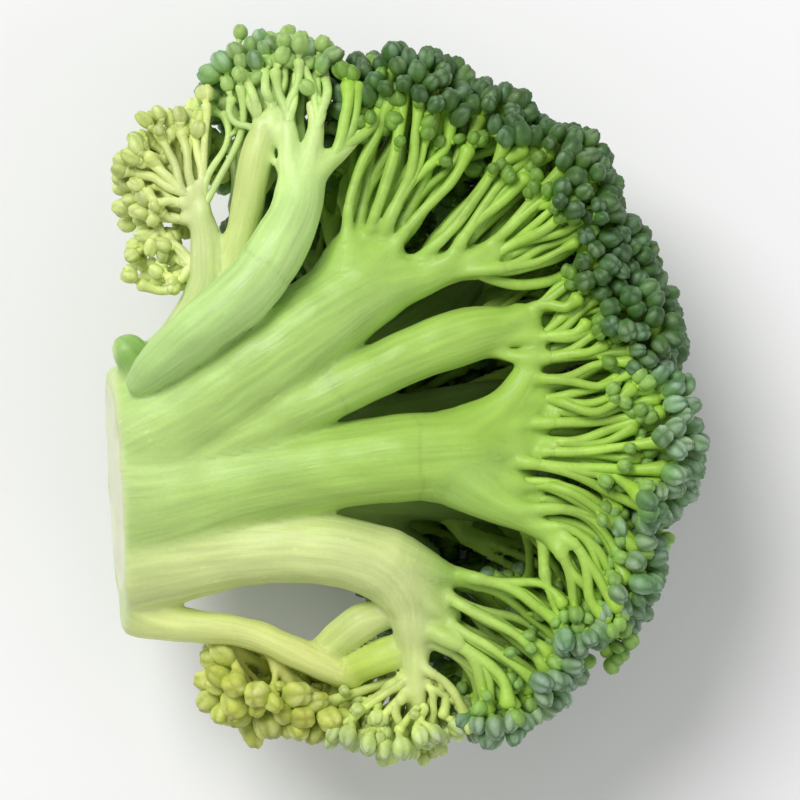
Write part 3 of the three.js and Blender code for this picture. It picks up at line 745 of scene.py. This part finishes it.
def add_fibres(m):
    """Fine fibres along the branches and small pale breathing pores, in colour and relief. Grain is millimetres round and along."""
    nodes, links = m.node_tree.nodes, m.node_tree.links
    bsdf = nodes["Principled BSDF"]
    grain = nodes.new("ShaderNodeAttribute")
    grain.attribute_name = "Grain"
    fine = nodes.new("ShaderNodeVectorMath")
    fine.operation = "MULTIPLY"
    fine.inputs[1].default_value = (2.4, 0.16, 0.0)
    links.new(grain.outputs["Vector"], fine.inputs[0])
    fibre = nodes.new("ShaderNodeTexNoise")
    fibre.inputs["Scale"].default_value = 1.0
    fibre.inputs["Detail"].default_value = 3.0
    links.new(fine.outputs["Vector"], fibre.inputs["Vector"])
    pores = nodes.new("ShaderNodeTexVoronoi")
    pores.inputs["Scale"].default_value = 1.0
    spread = nodes.new("ShaderNodeVectorMath")
    spread.operation = "MULTIPLY"
    spread.inputs[1].default_value = (0.75, 0.36, 0.0)
    links.new(grain.outputs["Vector"], spread.inputs[0])
    links.new(spread.outputs["Vector"], pores.inputs["Vector"])
    spot = nodes.new("ShaderNodeMapRange")
    spot.inputs["From Min"].default_value = 0.05
    spot.inputs["From Max"].default_value = 0.13
    spot.inputs["To Min"].default_value = 1.12
    spot.inputs["To Max"].default_value = 1.0
    links.new(pores.outputs["Distance"], spot.inputs["Value"])
    tone = nodes.new("ShaderNodeMapRange")
    tone.inputs["From Min"].default_value = 0.3
    tone.inputs["From Max"].default_value = 0.7
    tone.inputs["To Min"].default_value = 0.93
    tone.inputs["To Max"].default_value = 1.06
    links.new(fibre.outputs["Fac"], tone.inputs["Value"])
    # all of it fades out where two branches meet
    apart = nodes.new("ShaderNodeSeparateXYZ")
    links.new(grain.outputs["Vector"], apart.inputs["Vector"])
    marks = nodes.new("ShaderNodeMath")
    marks.operation = "MULTIPLY"
    links.new(spot.outputs["Result"], marks.inputs[0])
    links.new(tone.outputs["Result"], marks.inputs[1])
    less = nodes.new("ShaderNodeMath")
    less.operation = "SUBTRACT"
    less.inputs[1].default_value = 1.0
    links.new(marks.outputs["Value"], less.inputs[0])
    both = nodes.new("ShaderNodeMath")
    both.operation = "MULTIPLY_ADD"
    both.inputs[2].default_value = 1.0
    links.new(less.outputs["Value"], both.inputs[0])
    links.new(apart.outputs["Z"], both.inputs[1])
    height = nodes.new("ShaderNodeMath")
    height.operation = "SUBTRACT"
    height.inputs[1].default_value = 0.5
    links.new(fibre.outputs["Fac"], height.inputs[0])
    rise = nodes.new("ShaderNodeMath")
    rise.operation = "MULTIPLY"
    links.new(height.outputs["Value"], rise.inputs[0])
    links.new(apart.outputs["Z"], rise.inputs[1])
    before = bsdf.inputs["Base Color"].links[0].from_socket
    tint = nodes.new("ShaderNodeVectorMath")
    tint.operation = "SCALE"
    links.new(before, tint.inputs[0])
    links.new(both.outputs["Value"], tint.inputs["Scale"])
    links.new(tint.outputs["Vector"], bsdf.inputs["Base Color"])
    relief = nodes.new("ShaderNodeBump")
    relief.inputs["Strength"].default_value = 0.55
    relief.inputs["Distance"].default_value = 0.00012
    links.new(rise.outputs["Value"], relief.inputs["Height"])
    links.new(bsdf.inputs["Normal"].links[0].from_socket, relief.inputs["Normal"])
    links.new(relief.outputs["Normal"], bsdf.inputs["Normal"])


add_fibres(SKIN)
STRAND = skin_material("strand_skin", 0.42, 0.12, 3200.0, 0.25, 0.0)
BUDSKIN = skin_material("bud_skin", 0.48, 0.16, 2400.0, 0.5, 0.0)


def mesh_piece(name, parts, materials):
    """parts: [(verts, quads, tris, colours, material index)] as one object, in metres."""
    verts, loops, starts, mats, cols = [], [], [], [], []
    base = pos = 0
    for v, q, t, c, m in parts:
        verts.append(v)
        cols.append(c)
        for f in (q, t):
            if f is None or not len(f):
                continue
            loops.append((f + base).ravel())
            starts.append(pos + np.arange(len(f)) * f.shape[1])
            mats.append(np.full(len(f), m))
            pos += f.size
        base += len(v)
    verts, loops, starts, mats, cols = (np.concatenate(x) for x in (verts, loops, starts, mats, cols))
    verts = verts + ORIGIN
    verts[:, 2] = np.maximum(verts[:, 2], 0.02)
    me = bpy.data.meshes.new(name)
    me.vertices.add(len(verts))
    me.vertices.foreach_set("co", (verts * MM).astype(np.float32).ravel())
    me.loops.add(len(loops))
    me.loops.foreach_set("vertex_index", loops.astype(np.int32))
    me.polygons.add(len(starts))
    me.polygons.foreach_set("loop_start", starts.astype(np.int32))
    me.polygons.foreach_set("material_index", mats.astype(np.int32))
    me.polygons.foreach_set("use_smooth", np.ones(len(starts), bool))
    me.update(calc_edges=True)
    me.validate()
    layer = me.color_attributes.new("Col", "FLOAT_COLOR", "POINT")
    layer.data.foreach_set("color", np.hstack([np.clip(cols, 0, 1), np.ones((len(cols), 1))]).astype(np.float32).ravel())
    for m in materials:
        me.materials.append(m)
    ob = bpy.data.objects.new(name, me)
    bpy.context.scene.collection.objects.link(ob)
    return ob


# ------------------------------------------------------------------ the stalk
LINES = {name: smooth_line(points) for name, (points, _, _, _) in TRUNK.items()}


# ------------------------------------------------------------------ the bud clusters
def even_line(points, n):
    """A smooth line through (x, y) points as n points at even distances."""
    line = smooth_line([(x, y, 0.0, 0.0) for x, y in points], 0.4)[:, :2]
    run = np.concatenate([[0], np.cumsum(np.linalg.norm(np.diff(line, axis=0), axis=1))])
    at_run = np.linspace(0, run[-1], n)
    return np.stack([np.interp(at_run, run, line[:, i]) for i in range(2)], 1)


UPPER_LINES = np.vstack([smooth_line(points, 0.5) for n, (points, _, _, _) in TRUNK.items() if not n.startswith("under")])


def stalk_top(xy):
    """Height of the stalk's upper surface at each (x, y), or -1 where there is none."""
    d2 = ((xy[:, None, :] - UPPER_LINES[None, :, :2]) ** 2).sum(2)
    r2 = UPPER_LINES[None, :, 3] ** 2
    return np.where(d2 < r2, UPPER_LINES[None, :, 2] + np.sqrt(np.maximum(r2 - d2, 0)), -1.0).max(1)


def fan_strands(name):
    """The open strands of a cluster, from the guides: (path, radii, stem), and their stems (line, end colour). There are three layers, each lower
    one between the strands above it. Neighbours share a stem that grows out of the branch, and part from it one by one."""
    n = 18
    t = np.linspace(0, 1, n)
    made, stems = [], []
    fine = 0.88 if CLUSTERS[name][5] in ("young", "light", "pale") else 1.0
    roots = np.vstack([np.hstack([LINES[f], unit(np.gradient(LINES[f][:, :3], axis=0))]) for f in CLUSTERS[name][4] + BEHIND.get(name, [])])
    for z0, z1, trim, guides in FANS.get(name, ()):
        g = []
        for line in guides:
            xy = even_line([at(u, v, 0, 0)[:2] for u, v in line], 40)
            run = np.linalg.norm(np.diff(xy, axis=0), axis=1).sum()
            g.append(even_line(xy[: max(12, int(40 * (1 - trim / run)))], n))
        g = np.array(g)
        k = len(g)

        def between(w):
            w = float(np.clip(w, 0, k - 1))
            i = min(int(w), max(k - 2, 0))
            return g[i] * (1 - w + i) + g[min(i + 1, k - 1)] * (w - i)

        layers = [np.arange(k)]
        if k > 2:
            layers = [np.arange(0, k - 0.9, 0.6), np.arange(0.3, k - 1, 0.6), np.arange(0.25, k - 1, 0.5)]
        for layer, places in enumerate(layers):
            ways = []
            for place in places:
                w = place + rng.normal(0, 0.12)
                xy = between(w) * (1 - t[:, None]) + between(w + rng.normal(0, 0.22)) * t[:, None]
                ahead = unit(xy[-1] - xy[-4])
                side = np.array([-ahead[1], ahead[0]])
                xy = xy + ahead * (layer * 0.7 + rng.normal(0, 0.5)) * t[:, None] ** 2
                bow = rng.normal(0, 0.34) * np.sin(math.pi * t) + rng.normal(0, 0.2) * np.sin(2 * math.pi * t)
                xy = xy + side * bow[:, None]
                low0, low1 = z0 - 1.2 * layer, z1 - 2.0 * layer
                z = low0 + (low1 - low0) * t**1.4 + rng.normal(0, 0.45) * np.sin(math.pi * t) + rng.normal(0, 0.3) * t
                ways.append(np.column_stack([xy, z]))
            ways = np.array(ways)
            i = 0
            while i < len(ways):
                j = min(i + (int(rng.choice([2, 2, 3, 3])) if k > 2 else 1), len(ways))
                if len(ways) - j == 1:
                    j = len(ways)
                stem = ways[i:j].mean(0)
                top = stalk_top(stem[:, :2])
                cover = 0.25 + 1.2 * layer
                stem[:, 2] = np.where(top > 0, np.minimum(stem[:, 2], top - cover), stem[:, 2])
                for _ in range(2):
                    stem[1:-1, 2] = 0.25 * stem[:-2, 2] + 0.5 * stem[1:-1, 2] + 0.25 * stem[2:, 2]
                first = unit(stem[1] - stem[0])
                meet = rng.uniform(0.16, 0.4) if j - i > 1 else 0.0
                joined = fine * rng.uniform(0.5, 0.6) * (0.72 + 0.16 * (j - i))
                start = int(meet * (n - 1))
                # it rises out of the skin of the nearest branch as a rib, from a little way back
                back = stem[0] - 5.5 * first
                cost = np.linalg.norm((roots[:, :3] - back) * (1, 1, 0.6), axis=1) + 1.5 * np.maximum((roots[:, :3] - stem[0]) @ first, 0)
                root = roots[cost.argmin()]
                off = stem[0] - root[:3]
                off = off - (off @ root[4:7]) * root[4:7]
                small = 0.3 * joined
                begin = root[:3] + unit(off) * min(np.linalg.norm(off), max(0.0, root[3] - small - 0.6)) - (0, 0, 0.25 * min(root[3], 2.0) * layer)
                reach = np.linalg.norm(stem[0] - begin)
                lead = hermite(begin, stem[0], root[4:7] * reach * 0.9, first * reach * 0.9, 8)[:-1]
                thin = np.concatenate([np.linspace(small, joined * 1.05, 7), np.linspace(joined * 1.05, joined, start + 1)])
                if start > 1:
                    thin[-2:] *= (0.86, 0.6)
                line = np.hstack([np.vstack([lead, stem[: start + 1]]), thin[:, None]])
                here = branch_colour(line[:1, :3], [(LINES[f], TRUNK[f][2], TRUNK[f][3]) for f in TRUNK])[0]
                stems.append((line, here * 0.4 + STRAND_COLOURS[CLUSTERS[name][5]][0] * 0.35 + STRAND_COLOURS[CLUSTERS[name][5]][1] * 0.25))
                for m in range(i, j):
                    parting = np.clip((t - meet + rng.normal(0, 0.03) + 0.04) / 0.5, 0, 1)
                    parting = parting * parting * (3 - 2 * parting)
                    way = stem + (ways[m] - stem) * parting[:, None]
                    thick = fine * rng.uniform(0.34, 0.52)
                    rad = thick * (1 + 0.12 * (1 - t)) + (joined * 0.78 - thick) * (1 - parting) + (0.34 if fine == 1.0 else 0.2) * np.clip((t - 0.8) / 0.2, 0, 1) ** 1.5
                    first_at = max(start - 3, 0)
                    made.append((way[first_at:], rad[first_at:], len(stems) - 1))
                i = j
    return made, stems


def resample(path, rad, m):
    """The same line as m points at even distances, and a rounded tip beyond its end."""
    run = np.concatenate([[0], np.cumsum(np.linalg.norm(np.diff(path, axis=0), axis=1))])
    to = np.linspace(0, run[-1], m)
    p = np.stack([np.interp(to, run, path[:, i]) for i in range(3)], 1)
    r = np.interp(to, run, rad)
    ahead = unit(p[-1] - p[-2])
    p = np.vstack([p, p[-1] + ahead * r[-1] * 0.45, p[-1] + ahead * r[-1] * 0.68])
    return p, np.concatenate([r, [r[-1] * 0.8, r[-1] * 0.42]])


FANNED = {name: fan_strands(name) for name in CLUSTERS}


def make_stalk():
    stems = [(line, 0.6) for name in FANNED for line, _ in FANNED[name][1]]
    verts, quads = skin([(LINES[n], TRUNK[n][1]) for n in TRUNK] + stems, 0.32, cut=(CUT_POINT, CUT_NORMAL))
    shades = [(LINES[n], TRUNK[n][2], TRUNK[n][3]) for n in TRUNK]
    for name in FANNED:
        for line, end in FANNED[name][1]:
            here = branch_colour(line[:1, :3], shades[: len(TRUNK)])[0]
            mid = min(6, len(line) - 2)
            part = here * 0.7 + end * 0.3
            shades.append((line[: mid + 1], here, part))
            # painted shade: a stem's end colour is darker where it ends low down, in the shade of the strands above
            shades.append((line[mid:], part, end * np.interp(line[-1, 2], [19.0, 26.0], PAINTED_DEPTH_SHADE[CLUSTERS[name][5]])))
    colour, grain = branch_colour(verts, shades, fibre=0.05, fibred=len(TRUNK))
    # painted shade: the stalk is darkened lower down, to under half at 11 mm, where the branches beneath lie in shade
    colour = colour * np.interp(verts[:, 2], [11.0, 19.5], [0.45, 1.0])[:, None]
    depth = (verts - CUT_POINT) @ CUT_NORMAL
    face = np.clip(1 + (depth + 0.15) / 0.5, 0, 1)[:, None]
    rim = np.linalg.norm((verts - np.array([-27.5, -8.3, 21.3])) / (20, 11.5, 7.6), axis=1)
    flesh = np.where((rim > 0.86)[:, None], lin(206, 222, 160), lin(226, 232, 196))
    colour = colour * (1 - face) + flesh * face
    colour = colour * (1 + 0.025 * ripple(verts, 7.0))[:, None]
    # faint rings where the branches have jointed growth
    for name, place in (("tongue", 0.62), ("middle", 0.5), ("right", 0.83)):
        line = LINES[name]
        i = int(place * (len(line) - 1))
        t = unit(line[i + 1, :3] - line[i - 1, :3])
        rel = verts - line[i, :3]
        near = np.linalg.norm(rel, axis=1) < line[i, 3] + 0.8
        mark = np.exp(-((rel @ t + 0.25 * ripple(verts, 3.0)) / 0.22) ** 2) * near
        colour = colour * (1 - 0.12 * mark[:, None])
    normal_push = 0.05 * ripple(verts, 4.0)
    verts = verts + normal_push[:, None] * unit(verts - np.array([-5, -5, 18.0]))
    ob = mesh_piece("stalk_body", [(verts, quads, None, colour, 0)], [SKIN])
    layer = ob.data.attributes.new("Grain", "FLOAT_VECTOR", "POINT")
    layer.data.foreach_set("vector", grain.astype(np.float32).ravel())
    return ob


def make_cluster(name, pos, nor):
    c, r, face, climb, feeds, kind = CLUSTERS[name]
    under = climb is None
    n = len(pos)
    fans, stems = FANNED[name]
    fine = np.full(n, -1)
    if fans:
        tips = np.array([way[-1] + unit(way[-1] - way[-3]) * 1.0 for way, _, _ in fans])
        far = np.linalg.norm(pos[:, None] - tips[None], axis=2)
        load = np.zeros(len(fans), int)
        for i in np.argsort(far.min(1)):
            for j in np.argsort(far[i])[:4]:
                if far[i, j] < 3.3 and load[j] < 5:
                    fine[i] = j
                    load[j] += 1
                    break
    # buds that no open strand carries are shared out among hidden ones
    kept = np.unique(fine[fine >= 0])
    fine = np.where(fine >= 0, np.searchsorted(kept, fine), -1)
    rest = np.where(fine < 0)[0]
    hidden = groups_of(np.hstack([pos[rest], nor[rest] * 2.0]), max(1, round(len(rest) / 6.0)))
    fine[rest] = len(kept) + hidden
    fine = np.unique(fine, return_inverse=True)[1]
    k = fine.max() + 1
    centre = np.array([pos[fine == g].mean(0) for g in range(k)])
    out = unit(np.array([nor[fine == g].mean(0) for g in range(k)]))
    big = groups_of(centre, max(2, round(k / 5.0)))
    # each tuft of buds is a small dome of its own, and stands a little proud or back
    lift = rng.uniform(-0.45, 0.3, k)
    bigc = np.array([centre[big == b].mean(0) for b in range(big.max() + 1)])
    away = np.linalg.norm(centre - bigc[big], axis=1)
    lift += 0.7 - 0.75 * np.minimum(1.4, (away / 3.6) ** 2)
    d = pos - centre[fine]
    dist = np.linalg.norm(d, axis=1)
    pos = pos + out[fine] * (lift[fine] + 0.55 - 0.45 * np.minimum((dist / 2.0) ** 2, 1.6))[:, None]
    pos[:, 2] = np.maximum(pos[:, 2], 0.95)
    axis = unit(nor + 0.35 * d / 2.0 + rng.normal(0, 0.1, (n, 3)))
    scale = rng.normal(1.0, 0.1, n).clip(0.75, 1.25)
    width = 1.86 * scale
    length = 2.25 * scale * rng.uniform(0.92, 1.12, n)
    if kind == "yellow":
        width, length = width * 1.28, length * 1.28
    if kind == "pale":
        width, length = width * 0.84, length * 0.86
    if kind == "young":
        width, length = width * 0.74, length * 0.77
    foot = pos - axis * (length * 0.55)[:, None]

    # side branches and strands
    s0, s1 = STRAND_COLOURS[kind]
    branches, coloured = [], []
    options = []
    for f in feeds:
        line = LINES[f]
        m = len(line)
        for i in range(int(m * 0.45), m):
            a, b = line[max(i - 1, 0), :3], line[min(i + 1, m - 1), :3]
            options.append((line[i, :3], unit(b - a), line[i, 3], f, i / (m - 1)))
    used = {}
    strands = []
    bare = []
    open_paths, open_radii, open_from = [], [], []
    for j, (way, rad, stem) in enumerate(fans):
        m = len(way)
        u = np.linspace(0, 1, m)
        if j in kept:
            g = int(np.searchsorted(kept, j))
            push = centre[g] + out[g] * (lift[g] - 1.35) - way[-1]
            push *= min(1.0, 2.4 / max(np.linalg.norm(push), 1e-6))
            way = way + push * (u**2)[:, None]
            strands.append((g, way, out[g]))
        else:
            bare.append(way)
        way, rad = resample(way, rad, 18)
        open_paths.append(way)
        open_radii.append(rad)
        open_from.append(stems[stem][1])
    first_hidden = len(kept)
    hidden_ids = np.arange(first_hidden, k)
    bundles = groups_of(centre[hidden_ids], max(1, round(len(hidden_ids) / 4.5))) if len(hidden_ids) else np.zeros(0, int)
    for b in range(bundles.max() + 1 if len(bundles) else 0):
        members = hidden_ids[bundles == b]
        if not len(members):
            continue
        target, tn = centre[members].mean(0), unit(out[members].mean(0))
        best, cost0 = None, 1e9
        for oi, (p, t, pr, f, w) in enumerate(options):
            v = target - p
            length_v = np.linalg.norm(v)
            ang = math.degrees(math.acos(np.clip(t @ v / length_v, -1, 1)))
            cost = abs(ang - 24) / 18 + length_v / 16 + 0.35 * used.get((f, round(w * 6)), 0)
            if cost < cost0:
                best, cost0 = oi, cost
        p, t, pr, f, w = options[best]
        used[(f, round(w * 6))] = used.get((f, round(w * 6)), 0) + 1
        p = p - np.array([0, 0, 0.0 if under else min(1.2, pr * 0.5)])
        v = target - p
        reach = np.linalg.norm(v)
        q = p + v * 0.42 + rng.normal(0, 0.25, 3)
        path = hermite(p, q, t * reach * 0.5, unit(v + tn * reach * 0.4) * reach * 0.5, 9)
        r0 = min(pr * 0.75, 0.9)
        radius = r0 + (0.55 - r0) * np.linspace(0, 1, 9) ** 0.7
        line = np.hstack([path, radius[:, None]])
        branches.append((line, 0.5))
        dim = 1.0
        coloured.append((line, s0 * dim, (s0 * 0.5 + s1 * 0.5) * dim))
        tan = unit(np.gradient(path, axis=0))
        for g in members:
            e = centre[g] + out[g] * (lift[g] - 1.35)
            best, cost0 = 0, 1e9
            for i in range(1, 9):
                v = e - path[i]
                ang = math.degrees(math.acos(np.clip(tan[i] @ v / max(np.linalg.norm(v), 1e-6), -1, 1)))
                cost = abs(ang - 22) + rng.uniform(0, 6) - 1.2 * i
                if cost < cost0:
                    best, cost0 = i, cost
            p = path[best]
            reach = np.linalg.norm(e - p)
            m = max(7, int(reach / 0.9))
            way = hermite(p, e, tan[best] * reach * 0.9 + rng.normal(0, 0.5, 3), out[g] * reach * 0.75, m)
            u = np.linspace(0, 1, m)
            thick = rng.uniform(0.4, 0.52)
            rad = thick * (1 + 0.45 * np.exp(-u / 0.1)) + (0.28 if kind in ("young", "pale") else 0.5) * np.clip((u - 0.66) / 0.34, 0, 1) ** 1.5
            line = np.hstack([way, rad[:, None]])
            branches.append((line, 0.3))
            coloured.append((line, (s0 * 0.7 + s1 * 0.3) * dim, s1 * dim))
            strands.append((g, way, out[g]))
    for f in feeds if under else []:
        line = LINES[f].copy()
        line[:, 3] = np.maximum(line[:, 3] - 0.1, 0.3)
        cut_to = line[int(len(line) * 0.4) :]
        branches.insert(0, (cut_to, 0.6))
        share = 1 - len(cut_to) / len(line)
        coloured.append((cut_to, TRUNK[f][2] * (1 - share) + TRUNK[f][3] * share, TRUNK[f][3]))
    verts, quads = skin(branches, 0.28 if not under else 0.42, soften=not under)
    shade = branch_colour(verts, coloured, 0.35) * (1 + 0.03 * ripple(verts, 3.0) + 0.03 * ripple(verts, 1.2))[:, None]
    # painted shade: the side branches and strands are darker low down, as in the shade of those above, and the hidden
    # clusters beneath are darker all over
    shade = shade * np.interp(verts[:, 2], [19.0, 26.0], PAINTED_DEPTH_SHADE[kind] if not under else (0.9, 0.9))[:, None]
    parts = [(verts, quads, None, shade, 0)]
    if open_paths:
        v, q, t, along = tubes(np.array(open_paths), np.array(open_radii), 9)
        far = along[:, None]
        shade = np.repeat(np.array(open_from), len(v) // len(open_paths), axis=0) * (1 - far) + s1 * far
        tone = np.repeat(rng.normal(1.0, 0.07, len(open_paths)).clip(0.85, 1.15), len(v) // len(open_paths))
        # painted shade: the open strands are darker low down, in the shade of those above; the tone per strand is their
        # own colour
        shade = shade * (tone * (1 + 0.04 * ripple(v, 1.4)) * np.interp(v[:, 2], [19.0, 26.0], PAINTED_DEPTH_SHADE[kind]))[:, None]
        parts.append((v, q, t, shade, 0))

    # short pedicels
    base, side_c, tip_c, bloom = BUD_COLOURS[kind]
    lines = {g: (way, o) for g, way, o in strands}
    ped = np.zeros((n, 5, 3))
    for i in range(n):
        way, o = lines[fine[i]]
        j = len(way) - 1 - int(rng.integers(0, 2))
        p = way[j]
        end = foot[i] + axis[i] * 0.3
        reach = np.linalg.norm(end - p)
        ped[i] = hermite(p, end, unit(way[j] - way[j - 1]) * reach * 0.7, axis[i] * reach * 0.7, 5)
    rad = np.tile(np.array([0.42, 0.38, 0.37, 0.42, 0.62]), (n, 1)) * rng.uniform(0.9, 1.1, (n, 1))
    v, q, t, along = tubes(ped, rad, 6)
    shade = s1[None] * (1 - along[:, None]) + (s1 * 0.4 + base * 0.6)[None] * along[:, None]
    shade = shade * np.repeat(rng.uniform(0.88, 1.1, n), len(along) // n)[:, None]
    parts.append((v, q, t, shade, 0))

    # the buds
    lean = rng.normal(0, 0.1, (n, 2))
    v, q, t, height, seam, which = buds_mesh(foot, axis, width, length, lean)
    tone = rng.normal(1.0, 0.1, n).clip(0.75, 1.3)[which][:, None]
    warm = rng.normal(0, 1, n).clip(-1.0, 2)[which][:, None]
    if kind in ("pale", "young", "yellow"):
        warm = np.abs(warm) * 0.4
    h = height[:, None]
    col = base * np.clip(1 - h / 0.42, 0, 1) + side_c * np.clip(1 - np.abs(h - 0.45) / 0.45, 0, 1) + tip_c * np.clip((h - 0.45) / 0.5, 0, 1)
    col = col / np.maximum(np.clip(1 - h / 0.42, 0, 1) + np.clip(1 - np.abs(h - 0.45) / 0.45, 0, 1) + np.clip((h - 0.45) / 0.5, 0, 1), 1e-6)
    bloomed = {"bud_cluster_bottom_right": 0.66, "bud_cluster_right_lower": 0.5}.get(name, 0.42 if kind == "blue" else 0.32)
    # greyish bloom on the upper part of each bud, and painted shade in the grooves between the sepals: the bloom is
    # left out of them and they are darkened towards the tip
    dust = np.clip(bloomed + 0.3 * ripple(v, 1.6) + 0.25 * ripple(v, 5.0), 0, 0.8)[:, None] * np.clip(h * 1.6, 0, 1) * (1 - 0.8 * seam[:, None])
    col = col * (1 - dust) + bloom * dust
    col = col * tone * (1 - 0.25 * seam[:, None] * np.clip(h * 1.5, 0, 1)) * (1 + warm * np.array([0.06, 0.015, -0.05]))
    parts.append((v, q, t, col, 1))

    # small late buds along the strands, on their own short stalks
    if not under:
        p0, a0, s_ = [], [], []
        for way in bare:
            tang = unit(way[-1] - way[-3])
            for _ in range(int(rng.integers(1, 4))):
                off = rng.normal(size=3)
                p0.append(way[-1])
                a0.append(unit(tang + 0.55 * unit(off - (off @ tang) * tang)))
                s_.append(rng.uniform(0.6, 0.85))
        for g, way, o in strands:
            for _ in range(int(rng.integers(1, 4) if kind in ("dark", "blue") else rng.integers(0, 3))):
                j = int(len(way) * rng.uniform(0.56, 0.88))
                tang = unit(way[min(j + 1, len(way) - 1)] - way[j - 1])
                off = rng.normal(size=3) + np.array([0, 0, 0.5])
                off = unit(off - (off @ tang) * tang)
                p0.append(way[j])
                a0.append(unit(tang * 0.9 + off))
                s_.append(rng.uniform(0.5, 0.78))
        if p0:
            p0, a0, s_ = np.array(p0), np.array(a0), np.array(s_)
            reach = rng.uniform(0.5, 1.0, len(s_))[:, None]
            foot2 = p0 + a0 * reach
            ped = np.stack([p0 + a0 * reach * w for w in (0.0, 0.35, 0.7, 1.05)], 1)
            v, q, t, along = tubes(ped, np.tile([0.34, 0.27, 0.27, 0.36], (len(s_), 1)), 6)
            parts.append((v, q, t, np.tile(s1, (len(v), 1)), 0))
            v, q, t, height, seam, which = buds_mesh(foot2, a0, 2.0 * s_, 2.3 * s_, rng.normal(0, 0.08, (len(s_), 2)))
            young = (base * 0.85 + side_c * 0.15) * (1.15 if kind in ("dark", "blue") else 1.0)
            col = young * (1 - height[:, None] * 0.45) + side_c * height[:, None] * 0.45
            # painted shade: the late buds are darker in the grooves between their sepals towards the tip; the random
            # tone is their own colour
            col = col * (1 - 0.3 * seam[:, None] * height[:, None]) * rng.uniform(0.85, 1.12, len(s_))[which][:, None]
            parts.append((v, q, t, col, 1))
    return mesh_piece(name.replace("bud_cluster", "buds"), parts, [STRAND, BUDSKIN])


stalk = make_stalk()
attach(stalk, "root")
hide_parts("stalk")
for name, (pos, nor) in place_buds().items():
    piece = make_cluster(name, pos, nor)
    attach(piece, "root")
    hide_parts(name)
    print(name, len(pos), "buds", len(piece.data.polygons), "faces")

# ------------------------------------------------------------------ floor, light and camera
floor_mesh = bpy.data.meshes.new("floor")
floor_mesh.from_pydata([(-3, -3, 0), (3, -3, 0), (3, 3, 0), (-3, 3, 0)], [], [(0, 1, 2, 3)])
floor = bpy.data.objects.new("floor", floor_mesh)
bpy.context.scene.collection.objects.link(floor)
m, nodes, links, bsdf = new_material("pale_floor")
bsdf.inputs["Base Color"].default_value = (0.93, 0.93, 0.93, 1)
bsdf.inputs["Roughness"].default_value = 0.7
floor_mesh.materials.append(m)

world = bpy.data.worlds.new("studio")
bpy.context.scene.world = world
world.use_nodes = True
world.node_tree.nodes["Background"].inputs["Color"].default_value = (1, 1, 1, 1)
world.node_tree.nodes["Background"].inputs["Strength"].default_value = 0.42


def area(name, place, aim, size, power):
    light = bpy.data.lights.new(name, "AREA")
    light.shape = "DISK"
    light.size = size
    light.energy = power
    ob = bpy.data.objects.new(name, light)
    ob.location = place
    d = np.array(aim) - np.array(place)
    from mathutils import Vector
    ob.rotation_euler = Vector(d).to_track_quat("-Z", "Y").to_euler()
    bpy.context.scene.collection.objects.link(ob)
    return ob


area("key", (-0.35, 0.45, 0.75), (0, 0, 0.02), 0.5, 6.2)
area("fill", (0.6, -0.3, 0.5), (0, 0, 0.02), 0.7, 1.2)

cam_data = bpy.data.cameras.new("camera")
cam_data.lens = 200.0
cam_data.sensor_width = 36.0
cam = bpy.data.objects.new("camera", cam_data)
cam.location = (0.0, 0.0, 0.025 + 0.0765 / 2 / math.tan(math.atan(18.0 / 200.0)))
cam.rotation_euler = (0, 0, 0)
bpy.context.scene.collection.objects.link(cam)
bpy.context.scene.camera = cam
bpy.context.scene.view_settings.view_transform = "Standard"
bpy.context.scene.view_settings.look = "None"
